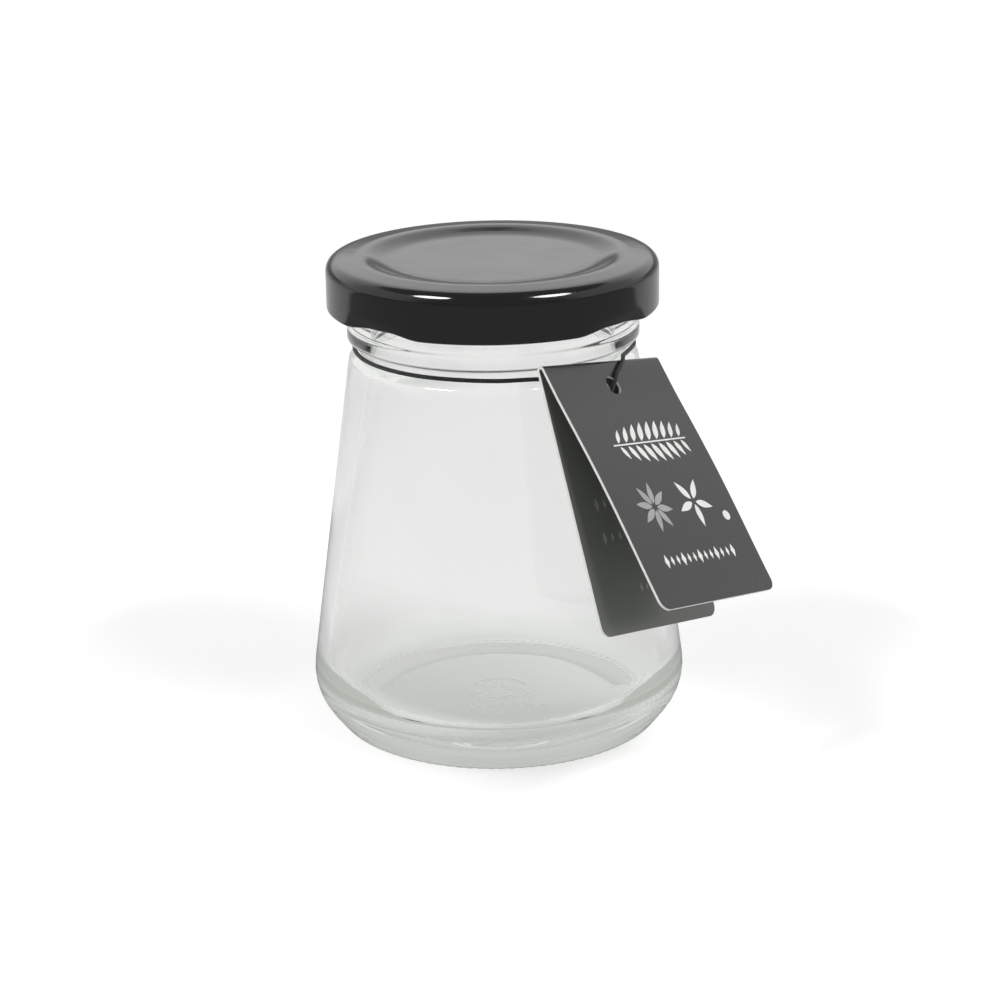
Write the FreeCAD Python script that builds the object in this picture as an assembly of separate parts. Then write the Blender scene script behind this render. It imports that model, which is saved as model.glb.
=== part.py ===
import FreeCAD, Part
import math
import os

# A small conical jar of clear glass with a black twist-off lid of thin painted
# steel, a folded card tag, and the elastic cord that ties the tag round the neck.
# Millimetres, +Z up. The origin is the centre of the ring that the jar stands on,
# on the jar's axis. -Y is the front, and the tag hangs to the front and right.

Vector = FreeCAD.Vector

# ---- the whole jar ----
TOTAL_HEIGHT = 75.0          # floor to the top of the closed lid

# ---- glass body ----
HEEL_R = 29.75               # where the side's line meets the heel's slope
HEEL_Z = 6.0
SIDE_TO_HEEL_ROUND = 9.0     # the large round at the foot of the side
FOOT_INSET = 4.75            # from the heel in to where its slope meets the floor
FOOT_ROUND = 2.4
BEARING_WIDTH = 2.4          # the flat ring that stands on the floor
BEARING_ROUND = 0.5
PUSH_UP = 1.6                # how far the underside is domed in
DOME_WIDTH = 5.65            # from the bearing ring in to the flat of the dome
DOME_ROUND = 8.0
WALL = 2.4                   # thickness of the side
FLOOR_THICKNESS = 3.4        # glass over the domed underside
FLOOR_CORNER_ROUND = 6.0     # the inside round between floor and side

# ---- glass neck ----
FINISH_R = 22.0              # the neck inside the lid
FINISH_WALL = 3.1
RIM_ROUND = 1.0
BEAD_REACH = 0.5             # the bead below the lid, out from the neck
BEAD_GAP = 2.6               # from the lid's lower edge down to the bead
BEAD_HEIGHT = 2.1
WAIST_DEPTH = 1.1            # the waist that the cord lies in, in from the neck
WAIST_HEIGHT = 3.1           # from the shoulder up to the bead's lower edge
SHOULDER_REACH = 0.35        # top of the side, out from the neck
SHOULDER_ROUND = 0.8
NECK_BEVEL = 0.4             # height of the sloped edges of waist and bead
NECK_ROUND = 0.5
THROAT_DROP = 1.0            # from the shoulder down to where the bore widens
THROAT_ROUND = 6.0
THREAD_COUNT = 4
THREAD_REACH = 1.5           # how far a thread start stands out of the neck
THREAD_HEIGHT = 1.3
THREAD_SPAN = 56.0           # degrees of the neck that one start covers
THREAD_PITCH = 3.5           # degrees of slope
THREAD_CLEARANCE = 0.4       # from a lug's top up to the middle of the thread over it

# ---- lid ----
LID_HEIGHT = 7.9
SHEET = 0.45                 # painted steel and its sealing compound
SKIRT_GAP = 1.55             # from a thread's crest out to the skirt
LID_EDGE_ROUND = 1.8         # between top and skirt
LID_CROWN = 0.35             # how far the top ring falls towards the skirt
RING_OVERHANG = 0.5          # the top ring's inner edge, out from the bore
RING_FLAT = 1.6              # level inner part of the top ring
RING_ROUND = 1.0
SEAL_REACH = 1.0             # the flat that seals on the rim, out from the neck
PANEL_SLOPE = 2.6            # width of the slope down to the sunk panel
PANEL_DEPTH = 0.9
PANEL_ROUND = 1.2
CURL_DEPTH = 1.1             # the rolled lower edge, inwards
CURL_HEIGHT = 1.0
CURL_ROUND = 0.4
LUG_COUNT = 4
LUG_FIRST = 47.0             # bearing of the first lug, degrees from +X
LUG_SPAN = 24.0
LUG_HEIGHT = 0.7
LUG_GAP = 0.35               # between a lug's tip and the glass neck
DENT_RISE = 0.55             # how far the lower edge is pushed up over a lug
DENT_WIDTH = 15.0

# ---- folded card tag ----
TAG_WIDTH = 28.7             # along the fold
TAG_HEIGHT = 39.7            # from the fold's centre to the free edge of a panel
CARD = 0.4
FOLD_INNER_R = 0.25
TAG_CORNER_R = 1.7
HOLE_R = 1.5
HOLE_DROP = 3.7              # from the fold's centre down each panel
TAG_BEARING = -46.2          # where the fold's middle lies round the neck, degrees
TAG_STANDOFF = 0.15          # from the bead's widest circle out to the fold's middle
TAG_DROP = 1.1               # from the bead's lower edge down to the fold's middle
TAG_TURN = 50.4              # direction of the fold line seen from above, degrees
TAG_DIP = 9.8                # the fold line falls towards its far end, degrees
BACK_LEAN = 24.1             # the back panel, out from hanging straight down
FRONT_LEAN = 39.7

# ---- elastic cord and its knot ----
CORD_D = 0.65
CORD_CLEARANCE = 0.2         # between the cord and the glass waist
CORD_DROP = 1.6              # from the bead's lower edge down to the cord's middle
RING_START = -76.0           # bearing where the cord comes onto the waist, degrees
RING_STEP = 30.0
RING_POINTS = 10
KNOT_R = 0.8
KNOT_LENGTH = 1.6
KNOT_DROP = 6.0              # from the fold's centre down to the knot's top
KNOT_LEAD = 1.0              # how far the cord's ends stand straight out of the knot
CORD_SPACING = 0.7           # between the two ends of the cord at the knot
ARC_SHARE = 0.45             # share of the shorter run that an arc takes up at each end

# The route's points, with heights from the cord's middle in the waist.
# From the knot between the panels, out through the hole of the back panel and
# up over the shoulder to the waist.
CORD_TO_NECK = [
    Vector(16.0, -18.0, -3.0),
    Vector(15.2, -17.5, -2.4),
    Vector(14.3, -17.6, -1.6),
    Vector(13.1, -18.6, -0.8),
    Vector(10.4, -19.6, -0.4),
    Vector(5.8, -20.7, -0.1),
]
# From the waist over the fold, in through the hole of the front panel, to the knot.
CORD_TO_KNOT = [
    Vector(20.4, -6.7, 0.1),
    Vector(19.4, -10.4, 0.5),
    Vector(19.4, -12.0, 0.8),
    Vector(19.2, -13.9, 0.4),
    Vector(18.6, -15.8, -0.2),
    Vector(18.1, -17.2, -0.8),
    Vector(17.8, -18.0, -1.6),
    Vector(17.3, -18.2, -2.9),
]

# ---- worked out from the sizes above ----
LID_BOTTOM = TOTAL_HEIGHT - LID_HEIGHT
RIM_Z = TOTAL_HEIGHT - SHEET
PANEL_Z = TOTAL_HEIGHT - PANEL_DEPTH
BEAD_TOP = LID_BOTTOM - BEAD_GAP
BEAD_BOTTOM = BEAD_TOP - BEAD_HEIGHT
SHOULDER_Z = BEAD_BOTTOM - WAIST_HEIGHT
FOOT_R = HEEL_R - FOOT_INSET
BEARING_INNER_R = FOOT_R - BEARING_WIDTH
BEAD_R = FINISH_R + BEAD_REACH
WAIST_R = FINISH_R - WAIST_DEPTH
SHOULDER_R = FINISH_R + SHOULDER_REACH
BORE_R = FINISH_R - FINISH_WALL
THREAD_R = FINISH_R + THREAD_REACH
LID_R = THREAD_R + SKIRT_GAP + SHEET
PANEL_EDGE_R = BORE_R + RING_OVERHANG
PANEL_R = PANEL_EDGE_R - PANEL_SLOPE
SIDE_SLOPE = (HEEL_R - SHOULDER_R) / (SHOULDER_Z - HEEL_Z)
FOLD_OUTER_R = FOLD_INNER_R + CARD
CORD_Z = BEAD_BOTTOM - CORD_DROP
RING_R = WAIST_R + CORD_CLEARANCE + CORD_D / 2


def side_r(z):
    """Radius of the outside of the sloping side at a height."""
    return SHOULDER_R + SIDE_SLOPE * (SHOULDER_Z - z)


def rounded_edges(corners, closed):
    """Straight edges between corners (Vector, radius), with a tangent arc at each corner."""
    count = len(corners)
    ends = []
    arcs = []
    for i, (here, radius) in enumerate(corners):
        inner = closed or 0 < i < count - 1
        if not inner or radius == 0:
            ends.append((here, here))
            arcs.append(None)
            continue
        back = (corners[i - 1][0] - here).normalize()
        ahead = (corners[(i + 1) % count][0] - here).normalize()
        half_open = back.getAngle(ahead) / 2
        reach = radius / math.tan(half_open)
        centre = here + (back + ahead).normalize() * (radius / math.sin(half_open))
        middle = centre + (here - centre).normalize() * radius
        start = here + back * reach
        end = here + ahead * reach
        ends.append((start, end))
        arcs.append(Part.Arc(start, middle, end).toShape())
    edges = []
    for i in range(count):
        if arcs[i]:
            edges.append(arcs[i])
        following = (i + 1) % count
        if following == 0 and not closed:
            break
        run_start = ends[i][1]
        run_end = ends[following][0]
        if run_start.distanceToPoint(run_end) > 1e-6:
            edges.append(Part.LineSegment(run_start, run_end).toShape())
    return edges


def turned(corners):
    """A solid of revolution about Z from a closed outline of corners (r, z, radius)."""
    outline = [(Vector(r, 0, z), radius) for r, z, radius in corners]
    face = Part.Face(Part.Wire(rounded_edges(outline, True)))
    return face.revolve(Vector(0, 0, 0), Vector(0, 0, 1), 360)


def about_z(shape, degrees):
    """A copy of a shape, turned about the jar's axis."""
    copy = shape.copy()
    copy.rotate(Vector(0, 0, 0), Vector(0, 0, 1), degrees)
    return copy


def ring_sector(inner_r, outer_r, bottom, top, span):
    """Part of a flat ring, with its middle on +X."""
    corners = [(inner_r, bottom), (outer_r, bottom), (outer_r, top), (inner_r, top)]
    points = [Vector(r, 0, z) for r, z in corners]
    face = Part.Face(Part.makePolygon(points + points[:1]))
    return about_z(face.revolve(Vector(0, 0, 0), Vector(0, 0, 1), span), -span / 2)


def thread_start():
    """One sloping thread on the neck, middle on +X; the lid's lug is drawn up under it."""
    middle_z = LID_BOTTOM + CURL_HEIGHT + THREAD_CLEARANCE + THREAD_HEIGHT / 2
    ridge = ring_sector(
        (BORE_R + FINISH_R) / 2,
        THREAD_R,
        middle_z - THREAD_HEIGHT / 2,
        middle_z + THREAD_HEIGHT / 2,
        THREAD_SPAN,
    )
    ridge.rotate(Vector(0, 0, middle_z), Vector(1, 0, 0), THREAD_PITCH)
    return ridge


def glass_jar():
    """The jar in one piece: heel, side, shoulder, waist, bead and threaded finish."""
    floor_z = PUSH_UP + FLOOR_THICKNESS
    body = turned([
        (0, PUSH_UP, 0),
        (BEARING_INNER_R - DOME_WIDTH, PUSH_UP, DOME_ROUND),
        (BEARING_INNER_R, 0, BEARING_ROUND),
        (FOOT_R, 0, FOOT_ROUND),
        (HEEL_R, HEEL_Z, SIDE_TO_HEEL_ROUND),
        (SHOULDER_R, SHOULDER_Z, SHOULDER_ROUND),
        (WAIST_R, SHOULDER_Z + NECK_BEVEL, NECK_ROUND),
        (WAIST_R, BEAD_BOTTOM - NECK_BEVEL, NECK_ROUND),
        (BEAD_R, BEAD_BOTTOM, NECK_ROUND),
        (BEAD_R, BEAD_TOP, NECK_ROUND),
        (FINISH_R, BEAD_TOP + NECK_BEVEL, NECK_ROUND),
        (FINISH_R, RIM_Z, RIM_ROUND),
        (BORE_R, RIM_Z, RIM_ROUND),
        (BORE_R, SHOULDER_Z - THROAT_DROP, THROAT_ROUND),
        (side_r(floor_z) - WALL, floor_z, FLOOR_CORNER_ROUND),
        (0, floor_z, 0),
    ])
    ridges = [
        about_z(thread_start(), LUG_FIRST + i * 360 / THREAD_COUNT)
        for i in range(THREAD_COUNT)
    ]
    return body.fuse(ridges).removeSplitter()


def lid():
    """The pressed lid: sunk panel, top ring, skirt, rolled edge and lugs."""
    skirt_in = LID_R - SHEET
    curl_in = LID_R - CURL_DEPTH
    curl_top = LID_BOTTOM + CURL_HEIGHT
    crown_z = TOTAL_HEIGHT - LID_CROWN
    shell = turned([
        (0, PANEL_Z, 0),
        (PANEL_R, PANEL_Z, PANEL_ROUND),
        (PANEL_EDGE_R, TOTAL_HEIGHT, RING_ROUND),
        (PANEL_EDGE_R + RING_FLAT, TOTAL_HEIGHT, RING_ROUND),
        (LID_R, crown_z, LID_EDGE_ROUND),
        (LID_R, LID_BOTTOM, CURL_ROUND),
        (curl_in, LID_BOTTOM, CURL_ROUND),
        (curl_in, curl_top, 0),
        (skirt_in, curl_top, 0),
        (skirt_in, crown_z - SHEET, LID_EDGE_ROUND - SHEET),
        (FINISH_R + SEAL_REACH, RIM_Z, 0),
        (PANEL_EDGE_R, RIM_Z, RING_ROUND + SHEET),
        (PANEL_R, PANEL_Z - SHEET, PANEL_ROUND - SHEET),
        (0, PANEL_Z - SHEET, 0),
    ])
    dent_r = (DENT_WIDTH ** 2 / 4 + DENT_RISE ** 2) / (2 * DENT_RISE)
    lug = ring_sector(
        FINISH_R + LUG_GAP,
        curl_in + SHEET / 2,
        curl_top - LUG_HEIGHT,
        curl_top,
        LUG_SPAN,
    )
    dent = Part.makeCylinder(
        dent_r,
        2 * CURL_DEPTH,
        Vector(curl_in, 0, LID_BOTTOM + DENT_RISE - dent_r),
        Vector(1, 0, 0),
    )
    bearings = [LUG_FIRST + i * 360 / LUG_COUNT for i in range(LUG_COUNT)]
    dented = shell.cut([about_z(dent, bearing) for bearing in bearings])
    return dented.fuse([about_z(lug, bearing) for bearing in bearings]).removeSplitter()


def lean_down(lean):
    """Down a panel that leans out, in the tag's own frame."""
    return Vector(0, -math.sin(math.radians(lean)), -math.cos(math.radians(lean)))


def lean_out(lean):
    """Square to that panel, away from the jar and up."""
    return Vector(0, -math.cos(math.radians(lean)), math.sin(math.radians(lean)))


def tag_placement():
    """From the tag's own frame, x along the fold and z up, to the jar's frame."""
    bearing = math.radians(TAG_BEARING)
    distance = BEAD_R + TAG_STANDOFF
    middle = Vector(
        distance * math.cos(bearing),
        distance * math.sin(bearing),
        BEAD_BOTTOM - TAG_DROP,
    )
    turn = FreeCAD.Rotation(Vector(0, 0, 1), TAG_TURN)
    dip = FreeCAD.Rotation(Vector(0, 1, 0), TAG_DIP)
    return FreeCAD.Placement(middle, turn.multiply(dip))


def tag():
    """One card, folded over, with two round free corners on each panel and one hole."""
    front_out = lean_out(FRONT_LEAN)
    back_out = lean_out(BACK_LEAN) * -1
    front_down = lean_down(FRONT_LEAN) * TAG_HEIGHT
    back_down = lean_down(BACK_LEAN) * TAG_HEIGHT
    top = (front_out + back_out).normalize()
    start = Vector(-TAG_WIDTH / 2, 0, 0)

    def line(a, b):
        return Part.LineSegment(start + a, start + b).toShape()

    def fold(radius):
        arc = Part.Arc(start + front_out * radius, start + top * radius, start + back_out * radius)
        return arc.toShape()

    outer = FOLD_OUTER_R
    inner = FOLD_INNER_R
    outline = Part.Wire([
        line(front_out * outer + front_down, front_out * outer),
        fold(outer),
        line(back_out * outer, back_out * outer + back_down),
        line(back_out * outer + back_down, back_out * inner + back_down),
        line(back_out * inner + back_down, back_out * inner),
        fold(inner),
        line(front_out * inner, front_out * inner + front_down),
        line(front_out * inner + front_down, front_out * outer + front_down),
    ])
    card = Part.Face(outline).extrude(Vector(TAG_WIDTH, 0, 0))
    corners = []
    for edge in card.Edges:
        free_end = min(vertex.Point.Length for vertex in edge.Vertexes) > TAG_HEIGHT
        if free_end and edge.Length < 2 * CARD:
            corners.append(edge)
    card = card.makeFillet(TAG_CORNER_R, corners)
    for out, down in ((front_out, front_down), (back_out, back_down)):
        mouth = down.normalize() * HOLE_DROP + out * (FOLD_INNER_R - CARD)
        card = card.cut(Part.makeCylinder(HOLE_R, 3 * CARD, mouth, out))
    card.Placement = tag_placement()
    return card


def over_knot(along, above):
    """A point that far above the knot's top face, and along the fold from its middle."""
    down = lean_down((FRONT_LEAN + BACK_LEAN) / 2)
    return tag_placement().multVec(down * (KNOT_DROP - above) + Vector(along, 0, 0))


def knot():
    """The knot that joins the cord's two ends, between the panels."""
    down = tag_placement().Rotation.multVec(lean_down((FRONT_LEAN + BACK_LEAN) / 2))
    return Part.makeCylinder(KNOT_R, KNOT_LENGTH, over_knot(0, 0), down)


def cord_route():
    """Corner points of the cord, from the knot once round the waist and back to it."""
    corner_r = RING_R / math.cos(math.radians(RING_STEP / 2))
    waist = []
    for i in range(RING_POINTS):
        bearing = math.radians(RING_START - (i + 0.5) * RING_STEP)
        waist.append(Vector(corner_r * math.cos(bearing), corner_r * math.sin(bearing), 0))
    round_neck = [Vector(0, 0, CORD_Z) + point for point in CORD_TO_NECK + waist + CORD_TO_KNOT]
    side = CORD_SPACING / 2
    start = [over_knot(-side, 0), over_knot(-side, KNOT_LEAD)]
    end = [over_knot(side, KNOT_LEAD), over_knot(side, 0)]
    return start + round_neck + end


def cord():
    """The elastic cord: a round tube of straight runs joined by tangent arcs."""
    route = cord_route()
    corners = [(route[0], 0)]
    radii = []
    for before, here, after in zip(route, route[1:], route[2:]):
        half_turn = (here - before).getAngle(after - here) / 2
        shorter = min((here - before).Length, (after - here).Length)
        radii.append(ARC_SHARE * shorter / math.tan(half_turn))
        corners.append((here, radii[-1]))
    corners.append((route[-1], 0))
    path = Part.Wire(rounded_edges(corners, False))
    circle = Part.Circle(route[0], route[1] - route[0], CORD_D / 2)
    tube = path.makePipeShell([Part.Wire(circle.toShape())], True, True)
    section = math.pi * CORD_D ** 2 / 4
    print("cord radii:", " ".join(f"{radius:.1f}" for radius in radii))
    print(f"cord length {path.Length:.1f} mm, volume {tube.Volume:.2f},"
          f" section times length {section * path.Length:.2f} mm3")
    return tube


def main():
    os.makedirs("parts", exist_ok=True)
    parts = {"jar": glass_jar(), "lid": lid(), "tag": tag(), "cord": cord(), "knot": knot()}
    for name, shape in parts.items():
        print(f"{name}: {len(shape.Solids)} solid, valid {shape.isValid()}, {shape.Volume:.1f} mm3")
        shape.Solids[0].exportStep(f"parts/{name}.step")


main()
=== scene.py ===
import math
import bmesh
import bpy
from mathutils import Matrix, Vector


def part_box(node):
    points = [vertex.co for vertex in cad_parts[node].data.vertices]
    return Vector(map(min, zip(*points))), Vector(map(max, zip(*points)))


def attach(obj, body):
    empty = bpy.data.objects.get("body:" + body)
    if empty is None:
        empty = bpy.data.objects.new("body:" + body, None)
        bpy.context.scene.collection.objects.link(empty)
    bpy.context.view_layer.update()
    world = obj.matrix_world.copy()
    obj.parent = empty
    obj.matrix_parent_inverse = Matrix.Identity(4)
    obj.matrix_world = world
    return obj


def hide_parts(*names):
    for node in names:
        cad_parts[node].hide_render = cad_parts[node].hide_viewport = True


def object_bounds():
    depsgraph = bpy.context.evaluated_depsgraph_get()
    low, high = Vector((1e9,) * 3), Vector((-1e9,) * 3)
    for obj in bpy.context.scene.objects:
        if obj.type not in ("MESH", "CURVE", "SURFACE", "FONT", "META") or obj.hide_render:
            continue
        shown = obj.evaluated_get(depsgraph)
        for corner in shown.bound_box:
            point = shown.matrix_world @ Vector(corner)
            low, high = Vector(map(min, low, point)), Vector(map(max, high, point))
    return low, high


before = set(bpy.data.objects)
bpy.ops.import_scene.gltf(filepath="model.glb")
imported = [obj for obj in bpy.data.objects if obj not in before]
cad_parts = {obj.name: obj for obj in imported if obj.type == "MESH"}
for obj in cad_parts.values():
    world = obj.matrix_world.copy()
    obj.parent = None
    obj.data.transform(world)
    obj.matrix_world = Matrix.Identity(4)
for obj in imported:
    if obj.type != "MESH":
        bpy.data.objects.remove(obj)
cad_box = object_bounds()

# ---- the table and the light tent ----
# The jar stands on a plain white table inside a white tent. The tent's back wall is
# bright, its top and front are dim, and two soft lamps hang in front on both sides.
CAMERA_PLACE = (-0.00139, -0.4186, 0.1727)
CAMERA_PITCH = math.radians(18.17)      # looking down
CAMERA_ROLL = math.radians(-1.04)
CAMERA_LENS = 100.97                    # mm, on a 36 mm sensor
CAMERA_SHIFT = 0.0127
TABLE_SIZE = 6.0
TABLE_GAP = 0.00005                     # keeps the table out of the glass that stands on it
TABLE_WHITE = 0.80
TABLE_PAINTED_DARK_IN_GLOSS = 0.28                   # in front of the jar, painted darker where a gloss mirrors it: a painted dark reflection
TABLE_GLOW, TABLE_GLOW_FAR, TABLE_GLOW_IN_GLASS = 0.34, 0.60, 0.13
BACK_WALL, SIDE_WALLS, TENT_FRONT, TENT_TOP, HORIZON = 1.10, 0.75, 0.24, 0.22, 0.30
TENT_IN_GLASS = 0.68                    # as seen through the glass
LAMP_DISTANCE, LAMP_WIDTH, LAMP_DEPTH, LAMP_POWER = 0.9, 0.34, 0.12, 3.0
LAMP_BEARINGS = {"lamp left": math.radians(-57), "lamp right": math.radians(55)}
LAMP_HEIGHT = math.radians(52)
LAMP_GLINT = 22.0                       # a lamp's brightness where a gloss mirrors it
GLINT_EDGE, GLINT_FULL = math.cos(math.radians(11)), math.cos(math.radians(9))
# Where one part of the tent goes over into the next. A direction's depth goes from -1 in
# front to 1 behind, and its height from 0 when it is level to 1 straight up.
BACK_EDGE, FRONT_EDGE, HORIZON_SIDES = (0.25, 0.65), (-0.35, -0.75), (0.30, 0.70)
TOP_EDGE, HORIZON_EDGE = (0.69, 0.76), (0.24, 0.14)
# Behind the jar, where the table's painted dark mirror image turns white, and where its glow is
# full.
GLOSS_EDGE, FAR_EDGE = (0.095, 0.125), (0.2, 0.9)
# A gloss that light meets after so many turns is inside the glass. The tent counts one more.
TURNS_TO_TENT, TURNS_TO_TABLE = 2.5, 1.5

scene = bpy.context.scene
collection = scene.collection
scene.view_settings.view_transform = "Standard"


def feed(tree, socket, value):
    """Give a node's input another node's output, or a plain value."""
    if isinstance(value, bpy.types.NodeSocket):
        tree.links.new(value, socket)
    else:
        socket.default_value = value


def add(tree, kind, inputs=None, **settings):
    """A new node with its settings and inputs; a key of inputs is a socket's name or number."""
    node = tree.nodes.new(kind)
    for key, value in settings.items():
        setattr(node, key, value)
    for key, value in (inputs or {}).items():
        feed(tree, node.inputs[key], value)
    return node


def calc(tree, operation, *values):
    """The result of a Math node."""
    return add(tree, "ShaderNodeMath", dict(enumerate(values)), operation=operation).outputs[0]


def times(tree, first, *others):
    """The product of all the values."""
    for other in others:
        first = calc(tree, "MULTIPLY", first, other)
    return first


def ease(tree, value, low, high):
    """0 below low, 1 above high, and a smooth step in between; low may be the larger."""
    step = add(tree, "ShaderNodeMapRange", {"Value": value, "From Min": low, "From Max": high},
               interpolation_type="SMOOTHSTEP")
    return step.outputs["Result"]


def blend(tree, share, first, second):
    """A number that goes from first to second as share goes from 0 to 1."""
    mixed = add(tree, "ShaderNodeMapRange", {"Value": share, "To Min": first, "To Max": second})
    return mixed.outputs["Result"]


def new_material(name):
    """A material, and its node tree with nothing in it yet."""
    made = bpy.data.materials.new(name)
    made.use_nodes = True
    made.node_tree.nodes.clear()
    return made, made.node_tree


def in_glass_or_mirrored(tree, turns):
    """Two shares, of rays that come through glass and of rays that come off a gloss."""
    rays = add(tree, "ShaderNodeLightPath").outputs
    deep = calc(tree, "GREATER_THAN", rays["Ray Depth"], turns)
    inner = times(tree, rays["Is Glossy Ray"], deep)
    through = calc(tree, "MAXIMUM", rays["Is Transmission Ray"], inner)
    mirrored = calc(tree, "SUBTRACT", rays["Is Glossy Ray"], through)
    return through, calc(tree, "MAXIMUM", mirrored, 0.0)


def towards(bearing):
    """Direction from the jar to a lamp; bearing 0 is in front and positive is to the right."""
    level = math.cos(LAMP_HEIGHT)
    return Vector((math.sin(bearing) * level, -math.cos(bearing) * level,
                   math.sin(LAMP_HEIGHT)))


camera = bpy.data.objects.new("camera", bpy.data.cameras.new("camera"))
camera.data.lens = CAMERA_LENS
camera.data.sensor_width = 36.0
camera.data.shift_x = CAMERA_SHIFT
camera.data.clip_start = 0.01
pitch = Matrix.Rotation(math.pi / 2 - CAMERA_PITCH, 4, "X")
roll = Matrix.Rotation(CAMERA_ROLL, 4, "Z")
camera.matrix_world = Matrix.Translation(CAMERA_PLACE) @ pitch @ roll
collection.objects.link(camera)
scene.camera = camera

tent = bpy.data.worlds.new("tent")
tent.use_nodes = True
scene.world = tent
sky = tent.node_tree
sky.nodes.clear()
outwards = add(sky, "ShaderNodeTexCoord").outputs["Generated"]
direction = add(sky, "ShaderNodeSeparateXYZ", {0: outwards})
up = direction.outputs["Z"]
depth = direction.outputs["Y"]
level = blend(sky, ease(sky, depth, *BACK_EDGE), SIDE_WALLS, BACK_WALL)
level = blend(sky, ease(sky, depth, *FRONT_EDGE), level, TENT_FRONT)
low_behind = times(sky, ease(sky, up, *HORIZON_EDGE), ease(sky, depth, *HORIZON_SIDES))
level = blend(sky, low_behind, level, HORIZON)
level = blend(sky, ease(sky, up, *TOP_EDGE), level, TENT_TOP)
through, mirrored = in_glass_or_mirrored(sky, TURNS_TO_TENT)
for bearing in LAMP_BEARINGS.values():
    facing = add(sky, "ShaderNodeVectorMath", {0: outwards, 1: towards(bearing)},
                 operation="DOT_PRODUCT")
    glint = ease(sky, facing.outputs["Value"], GLINT_EDGE, GLINT_FULL)
    level = blend(sky, times(sky, mirrored, glint), level, LAMP_GLINT)
level = blend(sky, through, level, TENT_IN_GLASS)
light = add(sky, "ShaderNodeBackground", {"Color": (1, 1, 1, 1), "Strength": level})
add(sky, "ShaderNodeOutputWorld", {"Surface": light.outputs[0]})

white_table, paint = new_material("white table")
place = add(paint, "ShaderNodeTexCoord").outputs["Object"]
behind = add(paint, "ShaderNodeSeparateXYZ", {0: place}).outputs["Y"]
away = add(paint, "ShaderNodeVectorMath", {0: place}, operation="LENGTH").outputs["Value"]
through, mirrored = in_glass_or_mirrored(paint, TURNS_TO_TABLE)
# Painted reflection: where a gloss mirrors the table in front of the jar, its white is painted
# dark.
painted_dark_mirror_table = blend(paint, ease(paint, behind, *GLOSS_EDGE), TABLE_PAINTED_DARK_IN_GLOSS, TABLE_WHITE)
white = blend(paint, mirrored, TABLE_WHITE, painted_dark_mirror_table)
top = add(paint, "ShaderNodeBsdfDiffuse", {"Color": white})
shine = blend(paint, ease(paint, away, *FAR_EDGE), TABLE_GLOW, TABLE_GLOW_FAR)
shine = blend(paint, add(paint, "ShaderNodeLightPath").outputs["Is Camera Ray"],
              times(paint, through, TABLE_GLOW_IN_GLASS), shine)
glow = add(paint, "ShaderNodeEmission", {"Strength": shine})
both = add(paint, "ShaderNodeAddShader", {0: top.outputs[0], 1: glow.outputs[0]})
add(paint, "ShaderNodeOutputMaterial", {"Surface": both.outputs[0]})

half = TABLE_SIZE / 2
sheet = bpy.data.meshes.new("table")
sheet.from_pydata([(x * half, y * half, -TABLE_GAP)
                   for x, y in ((-1, -1), (1, -1), (1, 1), (-1, 1))], [], [(0, 1, 2, 3)])
sheet.materials.append(white_table)
table = bpy.data.objects.new("table", sheet)
collection.objects.link(table)

for name, bearing in LAMP_BEARINGS.items():
    lamp = bpy.data.lights.new(name, "AREA")
    lamp.shape = "RECTANGLE"
    lamp.size = LAMP_WIDTH
    lamp.size_y = LAMP_DEPTH
    lamp.energy = LAMP_POWER
    holder = bpy.data.objects.new(name, lamp)
    back = towards(bearing)
    place = back * LAMP_DISTANCE + Vector((0, 0, cad_box[1].z / 2))
    facing_jar = back.to_track_quat("Z", "Y").to_matrix().to_4x4()
    holder.matrix_world = Matrix.Translation(place) @ facing_jar
    holder.visible_glossy = False           # the tent shows the lamp's glint instead
    holder.visible_transmission = False     # no streaks of light inside the glass
    collection.objects.link(holder)

# ---- glass jar ----
# The jar is pressed and blown soda-lime glass: a conical body with a rounded heel, a
# waist and a bead under the lid, four thread starts, and a knurled ring to stand on.
# Its outside comes smooth from the mould, and its inside is a little wavy.
lid_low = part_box("lid")[0].z
rim_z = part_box("jar")[1].z
HEEL_R, HEEL_Z, SIDE_TO_HEEL_ROUND = 0.02975, 0.0060, 0.0090
FOOT_R, FOOT_ROUND = 0.0250, 0.0024
BEARING_R, BEARING_ROUND = 0.0226, 0.0005
DOME_R, DOME_ROUND, PUSH_UP = 0.01695, 0.0080, 0.0016
WALL, FLOOR_THICKNESS, FLOOR_ROUND = 0.0024, 0.0034, 0.0060
FINISH_R, BORE_R, RIM_ROUND = 0.0220, 0.0189, 0.0010
BEAD_R, BEAD_TOP, BEAD_LOW = 0.0225, lid_low - 0.0026, lid_low - 0.0047
WAIST_R = 0.0209
SHOULDER_R, SHOULDER_Z = 0.02235, lid_low - 0.0078
SHOULDER_ROUND, SHOULDER_RISE = 0.0008, 0.0011
BEVEL, NECK_ROUND = 0.0004, 0.0005
THROAT_DROP, THROAT_ROUND = 0.0010, 0.0060
THREAD_STARTS, THREAD_FIRST, THREAD_SPAN = 4, math.radians(47), math.radians(56)
THREAD_REACH, THREAD_HEIGHT, THREAD_SLOPE = 0.0015, 0.0013, math.radians(3.5)
THREAD_CREST, THREAD_FOOT = 0.2, 0.62   # shares of its height from its middle
THREAD_RUN_OUT = math.radians(5)
CURL_HEIGHT, LUG_TOP = 0.0010, 0.0004   # the lid's rolled edge, and its lugs above that
THREAD_Z = lid_low + CURL_HEIGHT + LUG_TOP + THREAD_HEIGHT / 2
KNURLS, KNURL_DEPTH, KNURL_SLANT = 96, 0.00012, 2400
KNURLS_FROM = (BEARING_R - 0.0003, BEARING_R + 0.0003)      # where they set in
KNURLS_TO, KNURLS_UNDER = (FOOT_R + 0.0010, FOOT_R - 0.0002), (0.0006, 0.0002)
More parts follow.
